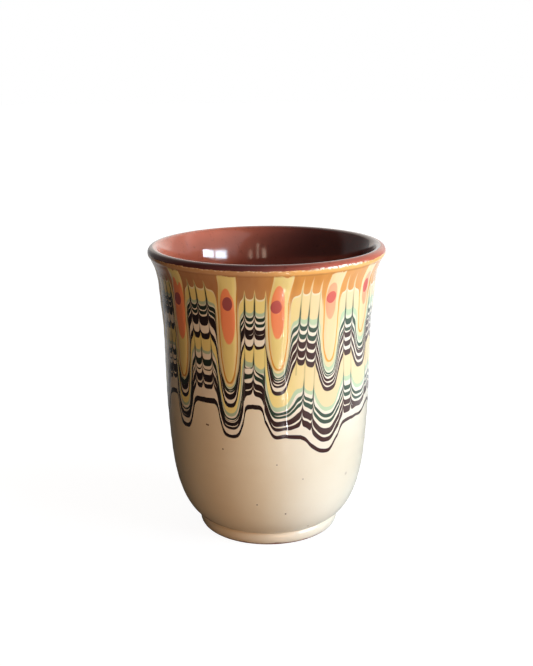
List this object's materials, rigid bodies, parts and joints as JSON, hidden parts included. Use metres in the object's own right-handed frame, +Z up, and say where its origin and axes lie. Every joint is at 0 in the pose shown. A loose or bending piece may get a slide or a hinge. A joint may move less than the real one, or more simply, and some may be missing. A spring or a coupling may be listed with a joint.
{
  "type": "tumbler",
  "caption": "Handleless thrown earthenware tumbler with a rounded belly, small turned foot and flared lip, in combed drip slip decoration under a glossy glaze.",
  "frame": {"origin": "middle of the ring that the tumbler stands on, at table level", "axes": "+Z up along the tumbler's axis, -Y towards the viewer of the picture, +X to the viewer's right"},
  "size_m": [0.0804, 0.0804, 0.1],
  "materials": {
    "glazed_clay": "glossy clear glaze over cream slip outside with combed drips in ochre, yellow, green and dark brown, red-brown glaze inside and on the lip, bare clay under the foot"
  },
  "bodies": {
    "root": {"tumbler": "glazed_clay"}
  },
  "joints": []
}
